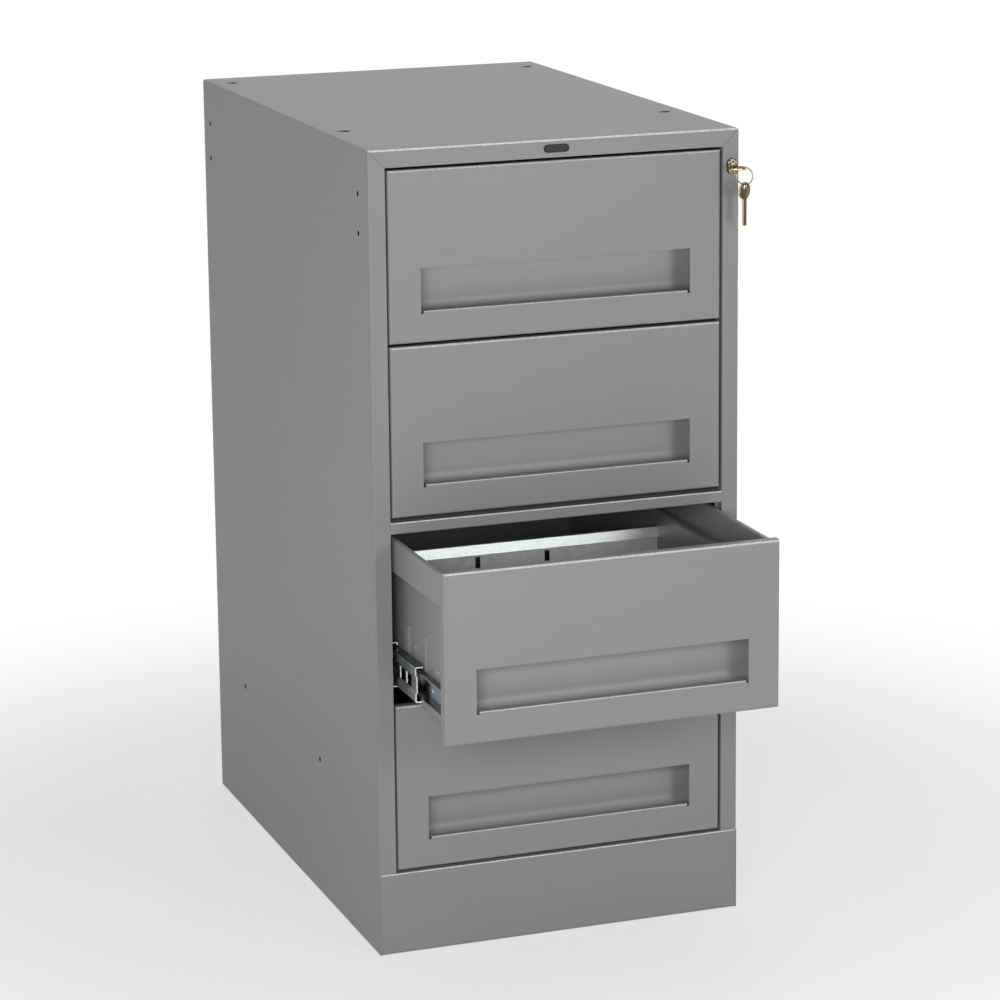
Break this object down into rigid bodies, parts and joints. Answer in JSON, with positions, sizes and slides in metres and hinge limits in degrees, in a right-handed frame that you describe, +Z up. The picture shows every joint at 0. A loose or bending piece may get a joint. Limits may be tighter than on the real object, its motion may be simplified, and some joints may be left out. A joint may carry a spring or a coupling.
{
  "type": "workbench drawer unit",
  "caption": "Steel pedestal of equal drawers on telescopic ball slides, with recessed pulls, a lock with keys, and keyholes in its top for hanging under a bench.",
  "frame": {"origin": "middle of the cabinet's footprint on the floor", "axes": "+X to the right seen from the front, +Y to the back, +Z up"},
  "size_m": [0.3852, 0.721, 0.8],
  "materials": {
    "grey_paint": "semi-gloss",
    "zinc_plate": "satin",
    "galvanised": "satin",
    "bright_steel": "polished",
    "nickel": "polished",
    "brass": "polished",
    "black_plastic": "gloss"
  },
  "bodies": {
    "cabinet": {"cabinet_shell": "grey_paint", "back_panel": "grey_paint", "base_pan": "grey_paint", "kick_plate": "grey_paint", "middle_rail": "grey_paint", "slide_upright_front_left": "galvanised", "slide_upright_front_right": "galvanised", "slide_upright_rear_left": "galvanised", "slide_upright_rear_right": "galvanised", "slide_rivets": "zinc_plate", "badge": "black_plastic", "lock_housing": "nickel", "lock_clip": "bright_steel", "lock_bar_guides": "zinc_plate", "slide_1_outer_members": "zinc_plate", "slide_2_outer_members": "zinc_plate", "slide_3_outer_members": "zinc_plate", "slide_4_outer_members": "zinc_plate"},
    "drawer_1": {"drawer_1_front": "grey_paint", "drawer_1_pull": "grey_paint", "drawer_1_box": "grey_paint", "drawer_1_rivets": "zinc_plate", "slide_1_inner_members": "zinc_plate"},
    "slide_1_middle": {"slide_1_middle_members": "zinc_plate"},
    "slide_1_outer_cage": {"slide_1_outer_cages": "bright_steel"},
    "slide_1_inner_cage": {"slide_1_inner_cages": "bright_steel"},
    "drawer_2": {"drawer_2_front": "grey_paint", "drawer_2_pull": "grey_paint", "drawer_2_box": "grey_paint", "drawer_2_rivets": "zinc_plate", "slide_2_inner_members": "zinc_plate"},
    "slide_2_middle": {"slide_2_middle_members": "zinc_plate"},
    "slide_2_outer_cage": {"slide_2_outer_cages": "bright_steel"},
    "slide_2_inner_cage": {"slide_2_inner_cages": "bright_steel"},
    "drawer_3": {"drawer_3_front": "grey_paint", "drawer_3_pull": "grey_paint", "drawer_3_box": "grey_paint", "drawer_3_rivets": "zinc_plate", "slide_3_inner_members": "zinc_plate", "drawer_3_divider": "galvanised"},
    "slide_3_middle": {"slide_3_middle_members": "zinc_plate"},
    "slide_3_outer_cage": {"slide_3_outer_cages": "bright_steel"},
    "slide_3_inner_cage": {"slide_3_inner_cages": "bright_steel"},
    "drawer_4": {"drawer_4_front": "grey_paint", "drawer_4_pull": "grey_paint", "drawer_4_box": "grey_paint", "drawer_4_rivets": "zinc_plate", "slide_4_inner_members": "zinc_plate"},
    "slide_4_middle": {"slide_4_middle_members": "zinc_plate"},
    "slide_4_outer_cage": {"slide_4_outer_cages": "bright_steel"},
    "slide_4_inner_cage": {"slide_4_inner_cages": "bright_steel"},
    "lock_plug": {"lock_plug": "nickel", "lock_cam": "zinc_plate", "key_in_lock": "brass"},
    "lock_bar": {"lock_bar": "zinc_plate"},
    "key_ring": {"key_ring": "brass"},
    "spare_key": {"spare_key": "brass"}
  },
  "joints": [
    {"name": "drawer_1_slide", "type": "slide", "parent": "cabinet", "child": "drawer_1", "axis": [0, -1, 0], "range_m": [0, 0.508]},
    {"name": "slide_1_middle_run", "type": "slide", "parent": "cabinet", "child": "slide_1_middle", "axis": [0, -1, 0], "range_m": [0, 0.254]},
    {"name": "slide_1_outer_cage_run", "type": "slide", "parent": "cabinet", "child": "slide_1_outer_cage", "axis": [0, -1, 0], "range_m": [0, 0.127]},
    {"name": "slide_1_inner_cage_run", "type": "slide", "parent": "cabinet", "child": "slide_1_inner_cage", "axis": [0, -1, 0], "range_m": [0, 0.381]},
    {"name": "drawer_2_slide", "type": "slide", "parent": "cabinet", "child": "drawer_2", "axis": [0, -1, 0], "range_m": [0, 0.508]},
    {"name": "slide_2_middle_run", "type": "slide", "parent": "cabinet", "child": "slide_2_middle", "axis": [0, -1, 0], "range_m": [0, 0.254]},
    {"name": "slide_2_outer_cage_run", "type": "slide", "parent": "cabinet", "child": "slide_2_outer_cage", "axis": [0, -1, 0], "range_m": [0, 0.127]},
    {"name": "slide_2_inner_cage_run", "type": "slide", "parent": "cabinet", "child": "slide_2_inner_cage", "axis": [0, -1, 0], "range_m": [0, 0.381]},
    {"name": "drawer_3_slide", "type": "slide", "parent": "cabinet", "child": "drawer_3", "axis": [0, -1, 0], "range_m": [-0.146, 0.362]},
    {"name": "slide_3_middle_run", "type": "slide", "parent": "cabinet", "child": "slide_3_middle", "axis": [0, -1, 0], "range_m": [-0.073, 0.181]},
    {"name": "slide_3_outer_cage_run", "type": "slide", "parent": "cabinet", "child": "slide_3_outer_cage", "axis": [0, -1, 0], "range_m": [-0.0365, 0.0905]},
    {"name": "slide_3_inner_cage_run", "type": "slide", "parent": "cabinet", "child": "slide_3_inner_cage", "axis": [0, -1, 0], "range_m": [-0.1095, 0.2715]},
    {"name": "drawer_4_slide", "type": "slide", "parent": "cabinet", "child": "drawer_4", "axis": [0, -1, 0], "range_m": [0, 0.508]},
    {"name": "slide_4_middle_run", "type": "slide", "parent": "cabinet", "child": "slide_4_middle", "axis": [0, -1, 0], "range_m": [0, 0.254]},
    {"name": "slide_4_outer_cage_run", "type": "slide", "parent": "cabinet", "child": "slide_4_outer_cage", "axis": [0, -1, 0], "range_m": [0, 0.127]},
    {"name": "slide_4_inner_cage_run", "type": "slide", "parent": "cabinet", "child": "slide_4_inner_cage", "axis": [0, -1, 0], "range_m": [0, 0.381]},
    {"name": "lock_turn", "type": "hinge", "parent": "cabinet", "child": "lock_plug", "pos_m": [0.1825, -0.2875, 0.7627], "axis": [0, -1, 0], "range_deg": [0, 90]},
    {"name": "lock_bar_travel", "type": "slide", "parent": "cabinet", "child": "lock_bar", "axis": [0, 0, -1], "range_m": [0, 0.00848]},
    {"name": "key_ring_swing", "type": "hinge", "parent": "lock_plug", "child": "key_ring", "pos_m": [0.18611, -0.31051, 0.7639], "axis": [0.7071, -0.7071, 0], "range_deg": [-15, 15]},
    {"name": "spare_key_swing", "type": "hinge", "parent": "key_ring", "child": "spare_key", "pos_m": [0.18611, -0.31051, 0.7476], "axis": [0.7071, -0.7071, 0], "range_deg": [-25, 25]}
  ],
  "couplings": [
    {"joint": "slide_1_middle_run", "follows": "drawer_1_slide", "ratio": 0.5},
    {"joint": "slide_1_outer_cage_run", "follows": "drawer_1_slide", "ratio": 0.25},
    {"joint": "slide_1_inner_cage_run", "follows": "drawer_1_slide", "ratio": 0.75},
    {"joint": "slide_2_middle_run", "follows": "drawer_2_slide", "ratio": 0.5},
    {"joint": "slide_2_outer_cage_run", "follows": "drawer_2_slide", "ratio": 0.25},
    {"joint": "slide_2_inner_cage_run", "follows": "drawer_2_slide", "ratio": 0.75},
    {"joint": "slide_3_middle_run", "follows": "drawer_3_slide", "ratio": 0.5},
    {"joint": "slide_3_outer_cage_run", "follows": "drawer_3_slide", "ratio": 0.25},
    {"joint": "slide_3_inner_cage_run", "follows": "drawer_3_slide", "ratio": 0.75},
    {"joint": "slide_4_middle_run", "follows": "drawer_4_slide", "ratio": 0.5},
    {"joint": "slide_4_outer_cage_run", "follows": "drawer_4_slide", "ratio": 0.25},
    {"joint": "slide_4_inner_cage_run", "follows": "drawer_4_slide", "ratio": 0.75},
    {"joint": "lock_turn", "follows": "lock_bar_travel", "rad_per_m": 185.12}
  ]
}
